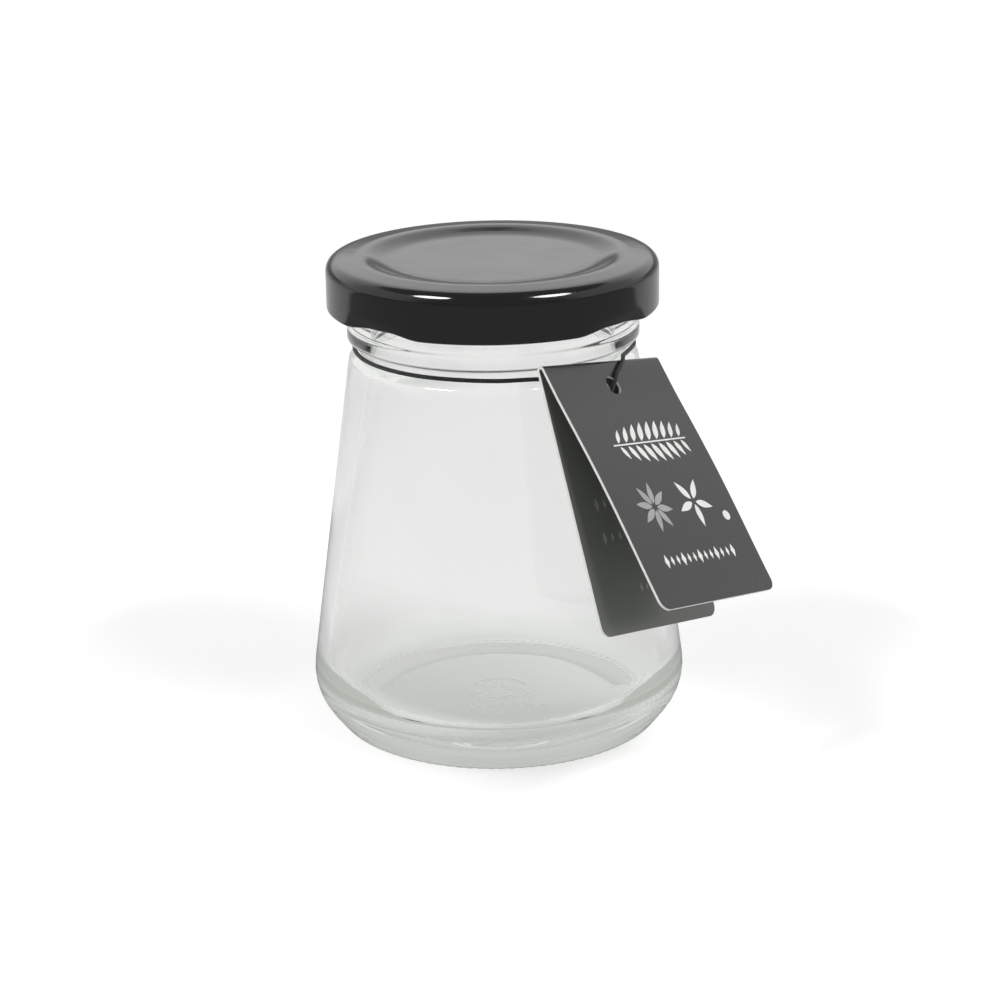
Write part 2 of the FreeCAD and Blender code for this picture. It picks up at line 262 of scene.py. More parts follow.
WAVE_DEPTH, WAVE_SIZE, WAVE_STRETCH = 0.00022, 0.014, 0.45
WAVE_FROM, WAVE_UNDER = (BORE_R * 0.2, BORE_R), (rim_z - 0.0005, rim_z - 0.004)
MARK_DEPTH = 0.00009                    # of the mark pressed into the glass under the jar
MARK_UNDER = PUSH_UP + 0.0001           # the flat of the underside is lower than this
MARK_RING_R, MARK_LINE = 0.0050, 0.00032
STAR_IN, STAR_OUT, STAR_BARS, STAR_GAP = 0.0012, 0.0038, 5, 0.55
DASH_STEP, DASH_SHARE, DASH_Y, DASH_HALF = 0.0021, 0.62, -0.0095, 0.0006
DASH_ROW_HALF = 0.0074
TRAPPED_AFTER = 3.5                     # light goes straight on after so many turns
JAR_SEGMENTS = 384
ARC_STEP = math.radians(11)
RUN = 0.0010                            # the usual longest piece of a straight run
SNAP = 0.000001                         # points closer than this are one


def outline(corners):
    """Points along corners (r, z, round, longest), with an arc at each round.

    longest, which is RUN where it is left out, is the longest piece of the straight run
    that follows the corner.
    """
    points = [Vector(corner[:2]) for corner in corners]
    path = []
    for i, (here, corner) in enumerate(zip(points, corners)):
        arc = [here]
        if corner[2]:
            back = (points[i - 1] - here).normalized()
            ahead = (points[i + 1] - here).normalized()
            half_open = back.angle(ahead) / 2
            centre = here + (back + ahead).normalized() * (corner[2] / math.sin(half_open))
            start = here + back * (corner[2] / math.tan(half_open)) - centre
            sweep = back.angle_signed(ahead)
            turn = math.pi - abs(sweep)
            steps = max(3, math.ceil(turn / ARC_STEP))
            swing = math.copysign(turn / steps, sweep)
            arc = [centre + Matrix.Rotation(swing * k, 2) @ start for k in range(steps + 1)]
        if path:
            run = arc[0] - path[-1]
            longest = corners[i - 1][3] if len(corners[i - 1]) > 3 else RUN
            pieces = math.ceil(run.length / longest)
            path += [path[-1] + run * (k / pieces) for k in range(1, pieces)]
        path += arc
    return path


def start_tree(name, sizes):
    """An empty Geometry Nodes tree with a named input for each size, and its input node."""
    tree = bpy.data.node_groups.new(name, "GeometryNodeTree")
    tree.interface.new_socket("Geometry", in_out="INPUT", socket_type="NodeSocketGeometry")
    tree.interface.new_socket("Geometry", in_out="OUTPUT", socket_type="NodeSocketGeometry")
    for size in sizes:
        tree.interface.new_socket(size, in_out="INPUT", socket_type="NodeSocketFloat")
    return tree, add(tree, "NodeGroupInput").outputs


def end_tree(tree, geometry, material):
    """The last nodes of every tree: real faces in place of instances, and their material."""
    real = add(tree, "GeometryNodeRealizeInstances", {"Geometry": geometry})
    coated = add(tree, "GeometryNodeSetMaterial",
                 {"Geometry": real.outputs[0], "Material": material})
    add(tree, "NodeGroupOutput", {"Geometry": coated.outputs[0]})


def built(name, tree, start, sizes):
    """A piece with a plain mesh: what a tree makes of a starting mesh and its sizes."""
    piece = bpy.data.objects.new(name, start)
    collection.objects.link(piece)
    modifier = piece.modifiers.new("build", "NODES")
    modifier.node_group = tree
    for item in tree.interface.items_tree:
        if item.in_out == "INPUT" and item.name in sizes:
            modifier[item.identifier] = float(sizes[item.name])
    graph = bpy.context.evaluated_depsgraph_get()
    mesh = bpy.data.meshes.new_from_object(piece.evaluated_get(graph), depsgraph=graph)
    piece.modifiers.clear()
    piece.data = mesh
    return piece


def turned(name, path, segments, sizes, detail, material):
    """A piece turned about the jar's axis from an outline with the outside on its right.

    detail(tree, given, angle, row, r, z) returns r and z with the piece's own relief.
    """
    tree, given = start_tree(name, ["Segments", *sizes])
    count = calc(tree, "ADD", given["Segments"], 1)
    grid = add(tree, "GeometryNodeMeshGrid", {"Vertices X": count, "Vertices Y": len(path)})
    index = add(tree, "GeometryNodeInputIndex").outputs[0]
    row = calc(tree, "MODULO", index, len(path))
    column = calc(tree, "DIVIDE", calc(tree, "ADD", index, 0.5), len(path))
    column = calc(tree, "FLOOR", column)
    angle = calc(tree, "DIVIDE", times(tree, column, 2 * math.pi), given["Segments"])
    drawn = add(tree, "GeometryNodeSampleIndex", {
        "Geometry": given["Geometry"],
        "Value": add(tree, "GeometryNodeInputPosition").outputs[0],
        "Index": row,
    }, data_type="FLOAT_VECTOR").outputs["Value"]
    drawn = add(tree, "ShaderNodeSeparateXYZ", {0: drawn}).outputs
    r, z = detail(tree, given, angle, row, drawn["X"], drawn["Z"])
    place = add(tree, "ShaderNodeCombineXYZ", {
        "X": times(tree, r, calc(tree, "COSINE", angle)),
        "Y": times(tree, r, calc(tree, "SINE", angle)),
        "Z": z,
    }).outputs[0]
    shaped = add(tree, "GeometryNodeSetPosition",
                 {"Geometry": grid.outputs["Mesh"], "Position": place})
    closed = add(tree, "GeometryNodeMergeByDistance",
                 {"Geometry": shaped.outputs[0], "Distance": SNAP})
    smooth = add(tree, "GeometryNodeSetShadeSmooth", {"Geometry": closed.outputs[0]})
    end_tree(tree, smooth.outputs[0], material)
    start = bpy.data.meshes.new(name)
    start.from_pydata([(max(r, 0), 0, z) for r, z in path], [], [])
    return built(name, tree, start, {"Segments": segments, **sizes})


def off_middle(tree, angle, first, count):
    """Signed angle from the nearest of count places spaced evenly round the axis."""
    half_pitch = math.pi / count
    return calc(tree, "WRAP", calc(tree, "SUBTRACT", angle, first), half_pitch, -half_pitch)


floor_z = PUSH_UP + FLOOR_THICKNESS
slope = (HEEL_R - SHOULDER_R) / (SHOULDER_Z - HEEL_Z)
outside = outline([
    (0, PUSH_UP, 0, 0.00035),
    (DOME_R, PUSH_UP, DOME_ROUND),
    (BEARING_R, 0, BEARING_ROUND, 0.0004),
    (FOOT_R, 0, FOOT_ROUND),
    (HEEL_R, HEEL_Z, SIDE_TO_HEEL_ROUND, 0.0020),
    (SHOULDER_R, SHOULDER_Z, SHOULDER_ROUND),
    (WAIST_R, SHOULDER_Z + SHOULDER_RISE, NECK_ROUND),
    (WAIST_R, BEAD_LOW - BEVEL, NECK_ROUND),
    (BEAD_R, BEAD_LOW, NECK_ROUND),
    (BEAD_R, BEAD_TOP, NECK_ROUND),
    (FINISH_R, BEAD_TOP + BEVEL, NECK_ROUND, 0.0004),
    (FINISH_R, rim_z, RIM_ROUND),
    (BORE_R, rim_z, 0),
])[:-1]
inside = outline([
    (FINISH_R, rim_z, 0),
    (BORE_R, rim_z, RIM_ROUND, 0.0015),
    (BORE_R, SHOULDER_Z - THROAT_DROP, THROAT_ROUND, 0.0020),
    (SHOULDER_R + slope * (SHOULDER_Z - floor_z) - WALL, floor_z, FLOOR_ROUND, 0.0015),
    (0, floor_z, 0),
])[1:]


def thread_ridge(tree, given, angle, z):
    """How far the thread starts stand out of the neck."""
    near = off_middle(tree, angle, THREAD_FIRST, THREAD_STARTS)
    climb = times(tree, calc(tree, "SINE", near), FINISH_R * math.sin(THREAD_SLOPE))
    above = calc(tree, "SUBTRACT", calc(tree, "SUBTRACT", z, climb), THREAD_Z)
    crest = ease(tree, calc(tree, "ABSOLUTE", above),
                 THREAD_HEIGHT * THREAD_FOOT, THREAD_HEIGHT * THREAD_CREST)
    ends = ease(tree, calc(tree, "ABSOLUTE", near),
                THREAD_SPAN / 2, THREAD_SPAN / 2 - THREAD_RUN_OUT)
    return times(tree, crest, ends, given["Thread Reach"])


def knurl_lift(tree, given, angle, r, z):
    """How far the fine slanted grooves of the standing ring are pressed up into it."""
    band = times(tree, ease(tree, r, *KNURLS_FROM), ease(tree, r, *KNURLS_TO),
                 ease(tree, z, *KNURLS_UNDER))
    slanted = calc(tree, "ADD", times(tree, angle, given["Knurls"]),
                   times(tree, r, KNURL_SLANT))
    groove = calc(tree, "ADD", times(tree, calc(tree, "COSINE", slanted), 0.5), 0.5)
    return times(tree, groove, band, given["Knurl Depth"])


def inside_wave(tree, given, angle, r, z):
    """How far the wall's inside swells and falls; the floor's middle and the rim stay true."""
    where = add(tree, "ShaderNodeCombineXYZ", {
        "X": times(tree, calc(tree, "COSINE", angle), HEEL_R / WAVE_SIZE),
        "Y": times(tree, calc(tree, "SINE", angle), HEEL_R / WAVE_SIZE),
        "Z": times(tree, z, WAVE_STRETCH / WAVE_SIZE),
    }).outputs[0]
    wave = add(tree, "ShaderNodeTexNoise", {"Vector": where, "Scale": 1.0, "Detail": 1.0})
    wave = calc(tree, "SUBTRACT", wave.outputs[0], 0.5)
    return times(tree, wave, given["Wave Depth"], ease(tree, r, *WAVE_FROM),
                 ease(tree, z, *WAVE_UNDER))


def jar_detail(tree, given, angle, row, r, z):
    """Thread starts and a knurled ring outside, and slow waves inside."""
    outer = calc(tree, "LESS_THAN", row, len(outside) - 0.5)
    inner = calc(tree, "SUBTRACT", 1.0, outer)
    ridge = times(tree, thread_ridge(tree, given, angle, z), outer)
    wave = times(tree, inside_wave(tree, given, angle, r, z), inner)
    lift = times(tree, knurl_lift(tree, given, angle, r, z), outer)
    return calc(tree, "ADD", calc(tree, "ADD", r, ridge), wave), calc(tree, "ADD", z, lift)


def in_mark(x, y):
    """Whether a place under the jar is in its plain mark: a ring, a star and a row of dashes."""
    distance = math.hypot(x, y)
    ring = abs(distance - MARK_RING_R) < MARK_LINE
    star = (STAR_IN < distance < STAR_OUT
            and math.cos(STAR_BARS * math.atan2(y, x)) > STAR_GAP)
    dash = (abs(x) < DASH_ROW_HALF and abs(y - DASH_Y) < DASH_HALF
            and (x / DASH_STEP) % 1.0 < DASH_SHARE)
    return ring or star or dash


glass, mix = new_material("clear glass")
body = add(mix, "ShaderNodeBsdfPrincipled", {
    "Base Color": (0.992, 0.995, 0.992, 1),
    "Roughness": 0.0,
    "IOR": 1.52,
    "Transmission Weight": 1.0,
})
clear = add(mix, "ShaderNodeBsdfTransparent", {"Color": (0.93, 0.94, 0.93, 1)})
rays = add(mix, "ShaderNodeLightPath").outputs
trapped = calc(mix, "GREATER_THAN", rays["Ray Depth"], TRAPPED_AFTER)
let_out = calc(mix, "MAXIMUM", rays["Is Shadow Ray"], trapped)
both = add(mix, "ShaderNodeMixShader", {0: let_out, 1: body.outputs[0], 2: clear.outputs[0]})
tint = add(mix, "ShaderNodeVolumeAbsorption",
           {"Color": (0.80, 0.84, 0.77, 1), "Density": 12.0})
add(mix, "ShaderNodeOutputMaterial", {"Surface": both.outputs[0], "Volume": tint.outputs[0]})

jar = turned("glass_jar", outside + inside, JAR_SEGMENTS, {
    "Thread Reach": THREAD_REACH,
    "Knurls": KNURLS,
    "Knurl Depth": KNURL_DEPTH,
    "Wave Depth": WAVE_DEPTH,
}, jar_detail, glass)
for vertex in jar.data.vertices:
    under = vertex.co.z < MARK_UNDER and vertex.co.xy.length < DOME_R
    if under and in_mark(vertex.co.x, vertex.co.y):
        vertex.co.z -= MARK_DEPTH
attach(jar, "root")
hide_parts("jar")

# ---- lid ----
# The lid is pressed from tinplate, enamelled gloss black outside and lacquered inside.
# It has a sunk round panel, a skirt with a rolled lower edge, and four lugs, each
# formed by a dent that draws the rolled edge up and in under a thread.
LID_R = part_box("lid")[1].x
LID_TOP = cad_box[1].z
SHEET = 0.00045
LID_EDGE_ROUND, LID_CROWN, CROWN_ROUND = 0.0018, 0.00035, 0.0060
RING_FLAT, RING_ROUND = 0.0016, 0.0040
PANEL_EDGE_R, PANEL_R, PANEL_DEPTH, PANEL_ROUND = BORE_R + 0.0005, 0.0168, 0.0009, 0.0070
SEAL_REACH, SEAL_ROUND = 0.0010, 0.0006
CURL_DEPTH, CURL_ROUND, CURL_LIP = 0.0011, 0.00048, 0.0003
LUGS, LUG_SPAN, LUG_END, LUG_GAP = 4, math.radians(24), math.radians(4), 0.00035
DENT_RISE, DENT_DEPTH, DENT_HEIGHT = 0.00060, 0.00045, 0.0024
DENT_SPAN, DENT_FLAT = math.radians(36), math.radians(4)
LID_SEGMENTS = 320
LACQUER_ABOVE, LOOKS_DOWN, LOOKS_IN = 0.0008, -0.3, 0.7     # what counts as the lid's inside

skirt_in = LID_R - SHEET
curl_in = LID_R - CURL_DEPTH
curl_top = lid_low + CURL_HEIGHT
crown_z = LID_TOP - LID_CROWN
panel_z = LID_TOP - PANEL_DEPTH
pressing = outline([
    (0, panel_z - SHEET, 0, 0.0030),
    (PANEL_R, panel_z - SHEET, PANEL_ROUND - SHEET),
    (PANEL_EDGE_R, rim_z, RING_ROUND),
    (FINISH_R + SEAL_REACH, rim_z, SEAL_ROUND),
    (skirt_in, crown_z - SHEET, LID_EDGE_ROUND - SHEET),
    (skirt_in, curl_top + CURL_LIP, 0.0002, 0.0003),
    (curl_in, curl_top, 0.0004, 0.0003),
    (curl_in, lid_low, CURL_ROUND, 0.0003),
    (LID_R, lid_low, CURL_ROUND, 0.0005),
    (LID_R, crown_z, LID_EDGE_ROUND),
    (PANEL_EDGE_R + RING_FLAT, LID_TOP, CROWN_ROUND),
    (PANEL_EDGE_R, LID_TOP, RING_ROUND),
    (PANEL_R, panel_z, PANEL_ROUND, 0.0030),
    (0, panel_z, 0),
])


def lid_detail(tree, given, angle, row, r, z):
    """Four dents that raise and tuck the rolled edge, and the lugs that they form inside."""
    near = calc(tree, "ABSOLUTE", off_middle(tree, angle, THREAD_FIRST, LUGS))
    skirt = ease(tree, r, BORE_R, curl_in - 0.0005)
    foot = times(tree, ease(tree, z, lid_low + DENT_HEIGHT, lid_low), skirt)
    push = times(tree, ease(tree, near, DENT_SPAN / 2, DENT_FLAT), foot)
    lug = ease(tree, near, LUG_SPAN / 2, LUG_SPAN / 2 - LUG_END)
    tip = times(tree, ease(tree, r, skirt_in - 0.0001, curl_in), skirt,
                ease(tree, z, curl_top + LUG_TOP, curl_top))
    reach = curl_in - FINISH_R - LUG_GAP - DENT_DEPTH
    tucked = calc(tree, "SUBTRACT", r, times(tree, push, given["Dent Depth"]))
    tucked = calc(tree, "SUBTRACT", tucked, times(tree, lug, tip, reach))
    return tucked, calc(tree, "ADD", z, times(tree, push, given["Dent Rise"]))


def speckle(tree, scale, detail):
    """Noise between 0 and 1 that is fixed to the piece."""
    spot = add(tree, "ShaderNodeTexCoord").outputs["Object"]
    return add(tree, "ShaderNodeTexNoise",
               {"Vector": spot, "Scale": scale, "Detail": detail}).outputs[0]


def between(tree, value, low, high, first, second):
    """A number that goes from first to second as value goes from low to high."""
    mapped = add(tree, "ShaderNodeMapRange", {"Value": value, "From Min": low, "From Max": high,
                                              "To Min": first, "To Max": second})
    return mapped.outputs["Result"]


def two_tone(tree, share, first, second):
    """A colour that goes from first to second as share goes from 0 to 1."""
    mixed = add(tree, "ShaderNodeMix", {"Factor": share, 6: (*first, 1), 7: (*second, 1)},
                data_type="RGBA")
    return mixed.outputs[2]


def bumped(tree, height, strength, distance, **settings):
    """A surface's direction with a fine relief."""
    relief = add(tree, "ShaderNodeBump",
                 {"Height": height, "Strength": strength, "Distance": distance}, **settings)
    return relief.outputs[0]


def surface(tree, inputs):
    """The last nodes of a solid material."""
    skin = add(tree, "ShaderNodeBsdfPrincipled", inputs)
    add(tree, "ShaderNodeOutputMaterial", {"Surface": skin.outputs[0]})


enamel, mix = new_material("gloss black enamel")
surface(mix, {
    "Base Color": (0.006, 0.006, 0.0065, 1),
    "Roughness": between(mix, speckle(mix, scale=90.0, detail=5.0), 0.35, 0.75,
                         first=0.06, second=0.13),
    "IOR": 1.60,
    "Normal": bumped(mix, speckle(mix, scale=420.0, detail=2.0), strength=0.06,
                     distance=0.0003),
})
lacquer, mix = new_material("lacquered tinplate")
surface(mix, {
    "Base Color": two_tone(mix, speckle(mix, scale=260.0, detail=4.0),
                           (0.76, 0.77, 0.72), (0.84, 0.85, 0.80)),
    "Roughness": 0.35,
})

lid = turned("twist_lid", pressing, LID_SEGMENTS, {
    "Dent Rise": DENT_RISE,
    "Dent Depth": DENT_DEPTH,
}, lid_detail, enamel)
lid.data.materials.append(lacquer)
for face in lid.data.polygons:
    inwards = -face.normal.xy.dot(face.center.xy.normalized())
    looks_in = face.normal.z < LOOKS_DOWN or inwards > LOOKS_IN
    if face.center.z > curl_top + LACQUER_ABOVE and looks_in:
        face.material_index = 1
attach(lid, "root")
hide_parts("lid")

# ---- tag ----
# The tag is one strip of coated card, printed black on both sides, creased across its
# middle and punched through both panels at once. Its free corners are rounded, and its
# cut edges show the white core. Its inner side is drawn a paler dark grey: partly its own
# tint, partly painted light that lifts the shade between the panels.
TAG_WIDTH, TAG_HEIGHT, CARD = 0.0287, 0.0397, 0.0004
FOLD_INSIDE_R = 0.00025
FOLD_R = FOLD_INSIDE_R + CARD / 2
CORNER_R, HOLE_R, HOLE_DROP = 0.0017, 0.0015, 0.0037
TAG_BEARING, TAG_TURN, TAG_DIP = math.radians(-46.2), math.radians(50.4), math.radians(9.8)
FRONT_LEAN, BACK_LEAN = math.radians(39.7), math.radians(24.1)
TAG_OUT, TAG_DOWN = 0.00015, 0.0011
BOW_START, BOW_RATE = 0.12, 0.00378     # below the hole the front panel bends by 0.35 mm
FOLD_STRIPS, PANEL_STRIPS, SIDE_STRIPS = 12, 24, 3
CORNER_POINTS, HOLE_POINTS = 9, 40
CUT_EDGE_ROUND = 0.00003

front_face = FRONT_LEAN - math.pi / 2
back_face = BACK_LEAN + math.pi / 2
half_fold = (back_face - front_face) * FOLD_R / 2
tag_middle = Vector((math.cos(TAG_BEARING), math.sin(TAG_BEARING), 0)) * (BEAD_R + TAG_OUT)
tag_middle.z = BEAD_LOW - TAG_DOWN
hang = (Matrix.Translation(tag_middle) @ Matrix.Rotation(TAG_TURN, 4, "Z")
        @ Matrix.Rotation(TAG_DIP, 4, "Y"))


def on_card(across, along, lift):
    """A place on the hanging card; along is 0 on the fold and positive down the front panel.

    lift is the height over the middle of the card, towards its outer side.
    """
    bent = max(-half_fold, min(half_fold, along))
    face = (front_face + back_face) / 2 - bent / FOLD_R
    out = Vector((0, math.sin(face), math.cos(face)))
    down = Vector((0, -math.cos(face), math.sin(face)))
    below = max(0.0, ((along - half_fold) / TAG_HEIGHT - BOW_START) / (1 - BOW_START))
    bow = BOW_RATE * below ** 1.5 * (1 - min(below, 1.0)) ** 2
    return hang @ (Vector((across, 0, 0)) + out * (FOLD_R + lift + bow) + down * (along - bent))


def filled(loops):
    """A flat mesh between an outer loop and holes, each a list of (x, y)."""
    flat = bmesh.new()
    for loop in loops:
        corners = [flat.verts.new((x, y, 0)) for x, y in loop]
        for a, b in zip(corners, corners[1:] + corners[:1]):
            flat.edges.new((a, b))
    bmesh.ops.triangle_fill(flat, use_beauty=True, edges=flat.edges)
    return flat


def arc_points(x, y, radius, count, start, sweep):
    """Points of an arc round (x, y), both of its ends among them."""
    angles = [start + sweep * i / (count - 1) for i in range(count)]
    return [(x + radius * math.cos(angle), y + radius * math.sin(angle)) for angle in angles]


def circle(x, y, radius, count):
    """Points of a circle round (x, y)."""
    return arc_points(x, y, radius, count + 1, 0, 2 * math.pi)[:-1]


def cut_across(flat, axis, places):
    """Cut a flat mesh along lines across an axis, so that it can bend there."""
    for place in places:
        point, normal = Vector((0, 0, 0)), Vector((0, 0, 0))
        point[axis] = place
        normal[axis] = 1
        bmesh.ops.bisect_plane(flat, geom=flat.verts[:] + flat.edges[:] + flat.faces[:],
                               plane_co=point, plane_no=normal, dist=SNAP / 10)


reach = half_fold + TAG_HEIGHT
side = TAG_WIDTH / 2
edge = []
for quarter, (sign_x, sign_y) in enumerate(((1, 1), (-1, 1), (-1, -1), (1, -1))):
    edge += arc_points(sign_x * (side - CORNER_R), sign_y * (reach - CORNER_R), CORNER_R,
                       CORNER_POINTS, quarter * math.pi / 2, math.pi / 2)
holes = [circle(0, sign * (half_fold + HOLE_DROP), HOLE_R, HOLE_POINTS) for sign in (1, -1)]
flat = filled([edge, *holes])
cut_across(flat, 1, [half_fold * (2 * i / FOLD_STRIPS - 1) for i in range(FOLD_STRIPS + 1)])
for sign in (1, -1):
    cut_across(flat, 1, [sign * (half_fold + TAG_HEIGHT * i / PANEL_STRIPS)
                         for i in range(1, PANEL_STRIPS)])
cut_across(flat, 0, [side * i / SIDE_STRIPS for i in range(1 - SIDE_STRIPS, SIDE_STRIPS)])
for vertex in flat.verts:
    vertex.co = on_card(vertex.co.x, vertex.co.y, 0)
bmesh.ops.reverse_faces(flat, faces=flat.faces)
card_mesh = bpy.data.meshes.new("swing_tag")
flat.to_mesh(card_mesh)
flat.free()
for face in card_mesh.polygons:
    face.use_smooth = True


def printed_card(name, dark, light):
    """Coated card printed all over: a faint mottle in its gloss and colour."""
    made, mix = new_material(name)
    mottle = speckle(mix, scale=160.0, detail=4.0)
    surface(mix, {
        "Base Color": two_tone(mix, mottle, dark, light),
        "Roughness": between(mix, mottle, 0.3, 0.7, first=0.17, second=0.24),
        "IOR": 1.5,
        "Normal": bumped(mix, speckle(mix, scale=2600.0, detail=2.0), strength=0.12,
                         distance=0.00004),
    })
    return made


def paper(name, dark, light):
    """Bare or inked paper: matt, with fine fibres."""
    made, mix = new_material(name)
    fibre = speckle(mix, scale=3800.0, detail=3.0)
    surface(mix, {
        "Base Color": two_tone(mix, fibre, dark, light),
        "Roughness": 0.7,
        "Normal": bumped(mix, fibre, strength=0.2, distance=0.00004),
    })
    return made


for finish in (
    printed_card("black printed card", (0.024, 0.025, 0.023), (0.034, 0.035, 0.033)),
    paper("white card core", (0.76, 0.76, 0.74), (0.86, 0.86, 0.84)),
    # The inner side's paler dark grey is partly its own tint and partly painted light that lifts
    # the shade between the panels.
    printed_card("inner side of the card, partly painted light", (0.165, 0.175, 0.160), (0.190, 0.200, 0.183)),
):
    card_mesh.materials.append(finish)
tag = bpy.data.objects.new("swing_tag", card_mesh)
collection.objects.link(tag)
thick = tag.modifiers.new("card", "SOLIDIFY")
thick.thickness = CARD
thick.offset = 0
thick.use_even_offset = True
thick.material_offset = 2
thick.material_offset_rim = 1
cut_edge = tag.modifiers.new("cut edge", "BEVEL")
cut_edge.width = CUT_EDGE_ROUND
cut_edge.segments = 2
cut_edge.limit_method = "ANGLE"
cut_edge.angle_limit = math.radians(60)
cut_edge.harden_normals = True
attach(tag, "root")
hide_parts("tag")

# ---- print on the tag ----
# The tag carries a plain screen-printed ornament: a white sprig of leaves, a grey and a
# white rosette with a dot, and a row of small lozenges. The inner side of the back
# panel has fainter marks.
INK, INK_GAP = 0.000012, 0.000004
LEAF_LENGTH, LEAF_WIDTH, LEAF_STEPS, LEAF_FULLNESS = 0.0034, 0.0011, 7, 0.8
SPRIG_ALONG, SPRIG_MIDDLE, SPRIG_LEAVES, SPRIG_STEP = 0.0136, 0.0015, 9, 0.0019
SPRIG_LEAN, SPRIG_OUT, SPRIG_SIZE, SPRIG_TAPER = math.radians(62), 0.0003, 1.05, 0.02
STEM_HALF, STEM_HALF_WIDTH = 0.0090, 0.00012
ROSETTE_ALONG, ROSETTE_GREY, ROSETTE_WHITE = 0.0240, -0.0052, 0.0046
ROSETTE_EYE, ROSETTE_TURN = 0.0005, 0.25                    # the turn in shares of a petal
DOT_ACROSS, DOT_ALONG, DOT_R, DOT_POINTS = 0.0110, 0.0270, 0.0008, 28
LOZENGE_HALF_WIDTH, LOZENGE_HALF_HEIGHT, SMALL_LOZENGE = 0.0005, 0.0011, 0.7
LOZENGE_ALONG, LOZENGE_STEP, LOZENGES = 0.0326, 0.0014, 13
INNER_ROSETTE_ALONG = 0.0120
INNER_ROWS = [                          # across, along, step, count, size
    (0, 0.0205, 0.0019, 10, 1),
    (0, 0.0255, 0.0019, 10, 1),
    (0.003, 0.0335, 0.0014, 9, 0.7),
]


def leaf(length, width):
    """Outline of a pointed leaf that grows along +X from the origin."""
    shares = [i / LEAF_STEPS for i in range(LEAF_STEPS + 1)]
    upper = [(length * share, width / 2 * math.sin(math.pi * share ** LEAF_FULLNESS))
             for share in shares]
    return upper + [(x, -y) for x, y in reversed(upper[1:-1])]


def repeated(name, mark, places, material):
    """A flat mark set at each of places, (across, along, turn, size)."""
    tree, given = start_tree(name, ["Size"])
    stamp = bpy.data.objects.new(name + " mark", bpy.data.meshes.new(name + " mark"))
    shape = filled([mark])
    shape.to_mesh(stamp.data)
    shape.free()
    read = {key: add(tree, "GeometryNodeInputNamedAttribute", {"Name": key}, data_type="FLOAT")
            for key in ("turn", "size")}
    copies = add(tree, "GeometryNodeInstanceOnPoints", {
        "Points": given["Geometry"],
        "Instance": add(tree, "GeometryNodeObjectInfo", {"Object": stamp}).outputs["Geometry"],
        "Rotation": add(tree, "ShaderNodeCombineXYZ", {"Z": read["turn"].outputs[0]}).outputs[0],
        "Scale": times(tree, read["size"].outputs[0], given["Size"]),
    })
    end_tree(tree, copies.outputs[0], material)
    start = bpy.data.meshes.new(name)
    start.from_pydata([(across, along, 0) for across, along, _, _ in places], [], [])
    for key, column in (("turn", 2), ("size", 3)):
        values = start.attributes.new(key, "FLOAT", "POINT").data
        values.foreach_set("value", [place[column] for place in places])
    return built(name, tree, start, {"Size": 1.0})


def lay_on(piece, lift, panel):
    """Lay a flat print on the front (1) or back (-1) panel, and give its ink a thickness."""
    shape = bmesh.new()
    shape.from_mesh(piece.data)
    cells = bmesh.ops.extrude_face_region(shape, geom=shape.faces[:])["geom"]
    raised = {item for item in cells if isinstance(item, bmesh.types.BMVert)}
    for vertex in shape.verts:
        level = lift + (math.copysign(INK, lift) if vertex in raised else 0)
        vertex.co = on_card(vertex.co.x, panel * (half_fold + vertex.co.y), level)
    if shape.calc_volume(signed=True) < 0:
        bmesh.ops.reverse_faces(shape, faces=shape.faces)
    shape.to_mesh(piece.data)
    shape.free()
    piece.parent = tag


def rosette(across, along, petals, size):
    """Places for the leaves of a rosette."""
    turns = [2 * math.pi * (i + ROSETTE_TURN) / petals for i in range(petals)]
    return [(across + ROSETTE_EYE * math.cos(turn), along + ROSETTE_EYE * math.sin(turn),
             turn, size) for turn in turns]


def lozenge_row(across, along, step, count, size):
    """Places for a row of lozenges about a middle, with every third one larger."""
    return [(across + step * (i - (count - 1) / 2), along, 0,
             size * (SMALL_LOZENGE if i % 3 else 1.0)) for i in range(count)]


white_ink = paper("white ink", (0.80, 0.80, 0.79), (0.88, 0.88, 0.87))
grey_ink = paper("grey ink", (0.34, 0.35, 0.34), (0.42, 0.43, 0.42))
faint_ink = paper("faint ink", (0.29, 0.30, 0.285), (0.33, 0.34, 0.325))

sprig = []
for i in range(SPRIG_LEAVES):
    off = i - (SPRIG_LEAVES - 1) / 2
    for row_side in (-1, 1):
        sprig.append((SPRIG_MIDDLE + off * SPRIG_STEP, SPRIG_ALONG + row_side * SPRIG_OUT,
                      row_side * SPRIG_LEAN, SPRIG_SIZE - SPRIG_TAPER * off * off))
stem = [(x * STEM_HALF, y * STEM_HALF_WIDTH) for x, y in ((-1, -1), (1, -1), (1, 1), (-1, 1))]
petal = leaf(LEAF_LENGTH, LEAF_WIDTH)
lozenge = [(x * LOZENGE_HALF_WIDTH, y * LOZENGE_HALF_HEIGHT)
           for x, y in ((-1, 0), (0, -1), (1, 0), (0, 1))]
row = lozenge_row(0, LOZENGE_ALONG, LOZENGE_STEP, LOZENGES, 1)
inner_rows = [place for across_to_size in INNER_ROWS for place in lozenge_row(*across_to_size)]
print_lift = CARD / 2 + INK_GAP
for name, mark, places, ink in (
    ("print_sprig", petal, sprig, white_ink),
    ("print_stem", stem, [(SPRIG_MIDDLE, SPRIG_ALONG, 0, 1)], white_ink),
    ("print_grey_rosette", petal, rosette(ROSETTE_GREY, ROSETTE_ALONG, 8, 1.05), grey_ink),
    ("print_white_rosette", petal, rosette(ROSETTE_WHITE, ROSETTE_ALONG, 5, 1.1), white_ink),
    ("print_dot", circle(0, 0, DOT_R, DOT_POINTS), [(DOT_ACROSS, DOT_ALONG, 0, 1)], white_ink),
    ("print_row", lozenge, row, white_ink),
):
    lay_on(repeated(name, mark, places, ink), print_lift, 1)
